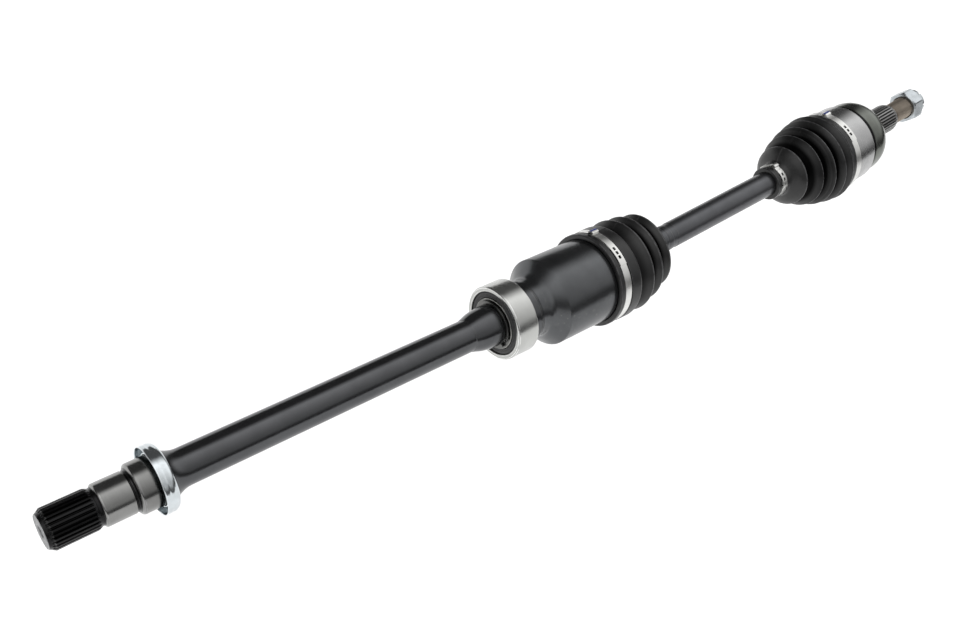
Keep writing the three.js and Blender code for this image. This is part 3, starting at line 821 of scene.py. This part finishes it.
def clamp(name, node, body, place, x0, x1, radius, ear_at, holes, tail_end, scale=1.0, marked=True):
    """A steel band: one layer all round, an overlapping tail with square holes, and a crimped ear.

    scale widens the ear's angles on a small band, so that the ear keeps its size.
    """
    up = radius + BAND + 0.05
    ear = [
        (ear_at + degrees * scale, up + height, MARKED if marked and painted else PLAIN)
        for degrees, height, painted in reversed(EAR)
    ]
    # under the holes the lower strip takes the seal's dark rubber as painted shadow
    under = [
        (a, r, SHADED if any(low < (a - 1) % 360 < high for low, high in holes) else PLAIN)
        for a, r, _ in arc(tail_end - 6, tail_end + 348, radius, step=2.0)
    ]
    layers = [
        (BAND, (), under),
        (BAND, holes, arc(ear_at + 9 * scale, tail_end, up, step=2.0)),
        (0.7, (), ear),
        (BAND, (), arc(ear_at - 24 * scale, ear_at - 9 * scale, up)),
    ]
    # the third finish is the painted shadow under the holes
    obj = arc_band(name, place, x0, x1, layers, [STAINLESS, BLUE, SEAL])
    stands_for(obj, body, "bright_steel", node)


def build_clamps():
    holes = [(95.9, 100.1), (101.9, 106.1), (107.9, 112.1)]
    clamp(
        "inner_large_band", "inner_boot_large_clamp", "intermediate", MAIN,
        100.5, 107.6, 40.1, 63, holes, 119,
    )
    clamp(
        "outer_large_band", "outer_boot_large_clamp", "wheel_end", WHEEL,
        -18.2, -11.1, 41.15, 66, holes, 120,
    )
    small = {"holes": [(107.9, 118.1), (125.9, 136.1)], "tail_end": 160, "scale": 2.2, "marked": False}
    clamp(
        "inner_small_band", "inner_boot_small_clamp", "bar", BAR,
        169.8 - INNER_CENTRE, 175.9 - INNER_CENTRE, 14.3, 66, **small,
    )
    clamp(
        "outer_small_band", "outer_boot_small_clamp", "bar", BAR,
        BAR_LENGTH - 101.9, BAR_LENGTH - 95.8, 15.2, 74, **small,
    )


# ---------------------------------------------------------------- bar shaft
def build_bar():
    length, radius = BAR_LENGTH, BAR_RADIUS
    rings = filleted([
        # the tripod's end, and the inner boot's seat
        0, (-14, 0), (-14, 9.6, 0.5), (-12.6, 10.9, 0.3), (12, 10.9, 0.5), (16, radius, 1),
        (97, radius, 0.3), (97.6, 11.2, 0.3), (107.6, 11.2, 0.3), (108.2, radius, 0.4),
        # two grooves
        (112.6, radius, 0.3), (113.0, 11.3, 0.2), (114.6, 11.3, 0.2), (115.0, radius, 0.3),
        (119.2, radius, 0.3), (119.6, 11.45, 0.2), (125.2, 11.45, 0.2), (125.8, 11.8, 0.4),
        # the long middle, and the outer boot's seat
        (170, 11.85, 1), (220, 11.95, 1), (262, 11.95, 0.3), (262.8, 11.3, 0.3), (275.4, 11.3, 0.3),
        (276, 11.9, 0.4), (length - 20, 11.5, 2), (length - 12, 10.9, 0.6),
        # the race's end, with its circlip groove
        (length + 11, 10.9), (length + 11.3, 9.7), (length + 13, 9.7), (length + 13.1, 10.9),
        (length + 14.6, 10.2, 0.4), (length + 14.6, 0),
    ], False)
    obj = loft("bar_tube", rings, [BAR_PAINT], BAR)
    stands_for(obj, "bar", "black_paint", "bar_shaft")


# ---------------------------------------------------------------- outer joint
def thread_ring(x, pitch, root, tip):
    """The section of a thread at one station."""

    def radius(angle):
        share = abs(((x / pitch) - angle / TURN) % 1 - 0.5) * 2
        rise = min(1.0, max(0.0, (share - 0.12) / 0.7))
        # the thread's roots get painted shade
        return root + (tip - root) * rise, (1 - rise) * 0.5

    return radius


def bell_cavity(x):
    """The bell's inside at one station: a ball seat with six tracks, widened to a cone at the mouth."""
    seat = math.sqrt(max(32.0 ** 2 - x * x, 1.0))
    if x < -11.5:
        seat = max(seat, 30.5 + (-11.5 - x) * 0.96)
    pitch, track_radius, track_side = 27.5, 9.35, 11.55

    def radius(angle):
        turn = (angle - TURN / 4 + TURN / 12) % (TURN / 6) - TURN / 12
        reach = seat
        for k in range(40):  # the furthest radius that a ball in its curved track sweeps
            r = 26 + k * 0.3
            swing = (math.hypot(x, r * math.cos(turn)) - pitch) / track_radius
            if swing * swing + (r * math.sin(turn) / track_side) ** 2 < 1:
                reach = max(reach, r)
        return reach, 0.0

    return radius


def stub_rings():
    """The stub behind the bell: chamfered spline, relief and thread, and the centre hole in its end."""
    tooth = lambda limit: teeth(**STUB_SPLINE, limit=limit)
    full = STUB_SPLINE["tip"]
    rings = [
        (45.2, tooth(13.36), 0.0, 3), (46.4, tooth(14.4), 0.3, 3), (47.0, tooth(full), 0.3, 3),
        (86.6, tooth(full), 0.1, 3), (88.6, tooth(14.3), 0.5, 3), (90.0, tooth(13.6), 0.4, 3),
        (90.8, tooth(13.36), 0.2, 3),
    ]
    start = THREAD_START
    rings += filleted([4, (91.0, 13.3, 0.3), (92.6, 11.4, 0.6), (93.2, 10.3, 0.4), (95.4, 10.2)], False)
    step = 0.25
    for i in range(int((THREAD_END - start) / step)):
        x = start + i * step
        rings.append((x, thread_ring(x, THREAD_PITCH, 10.15, 11.0), 0.0, 4))
    rings += [(139.6, 10.6, 0.2, 4), (140.8, 9.8, 0.5, 4), (141, 9.4, 0.4, 4)]
    return rings + filleted([4, (141, 4.4, 0.3), (138, 1.6), (135, 1.4), (135, 0)], False)


def build_bell():
    radius, flange = BELL_RADIUS, FLANGE_RADIUS
    outside = filleted([
        0, (-16, 37.0), (-16, 38.2, 0.3), (-9.9, 38.4, 0.3), (-9.6, 38.9, 0.3), (-9.2, radius, 0.4),
        # the groove behind the band takes the black spline finish as painted shade
        (13.6, radius, 0.5), 5, (14.4, 38.2, 0.5), (14.8, 35.6, 0.8), (17.4, 35.4, 0.8),
        (19.4, 36.4, 0.8), 1, (21.0, flange, 0.8), (31.5, flange, 2.5), (37.4, 35.6, 2.5),
        (42.2, 32.4, 1.0), 2, (44.4, 30.7, 0.5), (45.3, 29.6, 0.5), (45.3, 17.5, 0.6),
        3, (44.6, 16.4, 0.5), (44.8, 13.4),
    ], False)
    stations = (29.3, 27, 24, 20, 16, 11, 6, 0, -5, -10, -13, -15.9)
    inside = [(29.4, 0, 0.0, 0)] + [(x, bell_cavity(x), 0.0, 0) for x in stations]
    materials = [BELL, FORGED, STUB_RIM, STUB, THREAD, SPLINE]
    obj = loft("bell_body", inside + outside + stub_rings(), materials, WHEEL, segments=300)
    stands_for(obj, "wheel_end", "forged_steel", "outer_joint_bell")


def hexagon(flats, limit, phase):
    """A hexagon's section, with its corners cut down to a limit."""
    half = flats / 2

    def radius(angle):
        turn = (angle - phase) % (TURN / 6) - TURN / 12
        return min(half / math.cos(turn), limit), 0.0

    return radius


def notched(radius, root, count, phase, wide):
    """A round collar's section with notches. wide is a notch's share of the space between two of them."""

    def at(angle):
        turn = ((angle - phase) / TURN * count) % 1
        # the notches get painted shade
        return (root, 0.8) if abs(turn - 0.5) < wide / 2 else (radius, 0.0)

    return at


def build_nut():
    start, end, top = NUT_START, NUT_FLAT_END, NUT_END
    phase = math.radians(4)
    flat = lambda limit: hexagon(NUT_FLATS, limit, phase)
    notch = lambda radius: notched(radius, 11.9, 6, phase, 0.17)
    rings = filleted([0, (start + 1.2, 10.9), (start + 0.1, 12.2, 0.3), (start, 14.0, 0.2)], False)
    rings += [
        (start, 14.6, 0.3, 0), (start + 0.35, flat(15.1), 0.6, 0), (start + 0.8, flat(15.9), 0.5, 0),
        (start + 1.4, flat(16.7), 0.3, 0), (start + 2.2, flat(NUT_CORNER), 0.1, 0),
        (end - 2.0, flat(NUT_CORNER), 0.1, 0), (end - 1.2, flat(16.7), 0.3, 0),
        (end - 0.6, flat(15.8), 0.5, 0), (end - 0.1, flat(15.0), 0.5, 0),
    ]
    collar = COLLAR_RADIUS
    rings += filleted([0, (end, 14.6, 0.2), (end + 0.1, 13.7, 0.3), (end + 0.9, collar, 0.3)], False)
    rings += [
        (end + 1.2, notch(collar), 0.1, 0), (top - 0.6, notch(collar), 0.3, 0),
        (top - 0.1, notch(12.9), 0.8, 0), (top, 11.8, 0.5, 0), (top - 0.6, 11.25, 0.2, 0),
        (start + 2.4, 11.25, 0.0, 0), (start + 1.2, 11.2, 0.0, 0),
    ]
    obj = loft("castle_nut", rings, [NUT], WHEEL, segments=192, sharp=24.0)
    stands_for(obj, "wheel_end", "zinc_plate", "hub_nut")


# ---------------------------------------------------------------- camera, light and floor
def build_camera():
    data = bpy.data.cameras.new("camera")
    data.lens = 36.04
    data.sensor_width = 36.0
    data.clip_end = 50
    camera = bpy.data.objects.new("camera", data)
    right = Vector((0.75775, -0.60409, 0.24674))
    up = Vector((0.34372, 0.69092, 0.63600))
    back = Vector((-0.55468, -0.39712, 0.73118))
    turn = Matrix((right, up, back)).transposed().to_4x4()
    camera.matrix_world = Matrix.Translation((-0.44019, -0.29428, 0.55655)) @ turn
    scene.collection.objects.link(camera)
    scene.camera = camera


def build_floor():
    """A white floor that reaches the horizon, and glows a little so that it stays pale."""
    half, drop = 60.0, 0.30
    mesh = bpy.data.meshes.new("floor")
    corners = [(-half, -half, 0), (half, -half, 0), (half, half, 0), (-half, half, 0)]
    mesh.from_pydata(corners, [], [(0, 1, 2, 3)])
    floor = bpy.data.objects.new("floor", mesh)
    floor.location = (0, 0, -drop)
    scene.collection.objects.link(floor)
    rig.stage(floor)
    white = bpy.data.materials.new("pale_floor")
    white.use_nodes = True
    shader = white.node_tree.nodes["Principled BSDF"]
    shader.inputs["Base Color"].default_value = (0.9, 0.9, 0.9, 1)
    shader.inputs["Roughness"].default_value = 0.9
    shader.inputs["Emission Color"].default_value = (1, 1, 1, 1)
    shader.inputs["Emission Strength"].default_value = 0.45
    mesh.materials.append(white)


def build_studio():
    """A soft panel high up on the camera's side, brighter towards +Y, in a dim room with pale walls."""
    room = 0.09
    world = bpy.data.worlds.new("studio")
    scene.world = world
    world.use_nodes = True
    sky = Nodes(world.node_tree)
    direction = sky.add("ShaderNodeTexCoord").outputs["Generated"]
    parts = sky.add("ShaderNodeSeparateXYZ", [("Vector", direction)])
    high = sky.spread(parts.outputs["Z"], 0.2, 0.42)
    near = sky.spread(parts.outputs["Y"], 0.55, 0.2)
    bright = sky.spread(parts.outputs["Y"], -0.8, 0.25, 0.45, 1.5)
    panel = sky.math("MULTIPLY", sky.math("MULTIPLY", high, near), bright)
    light = sky.math("ADD", panel, room)
    seen = sky.add("ShaderNodeLightPath").outputs["Is Camera Ray"]
    background = world.node_tree.nodes["Background"]
    walls = sky.mix(seen, light, (1.0, 1.0, 1.0, 1.0))
    world.node_tree.links.new(walls, background.inputs["Color"])
    background.inputs["Strength"].default_value = 1.0


# ---------------------------------------------------------------- build
build_shaft()
build_dust_shield()
build_bearing()
build_snap_ring()
build_housing()
build_inner_boot()
build_outer_boot()
build_clamps()
build_bar()
build_bell()
build_nut()

for node in frame["nodes"].values():  # the pieces inside keep their CAD shape
    node.data.materials.clear()
    node.data.materials.append(HIDDEN_STEEL)

build_camera()
build_floor()
build_studio()

with open("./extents.json", "w") as out:
    json.dump({"cad": [list(c) for c in cad_box], "visual": [list(c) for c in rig.bounds()]}, out)
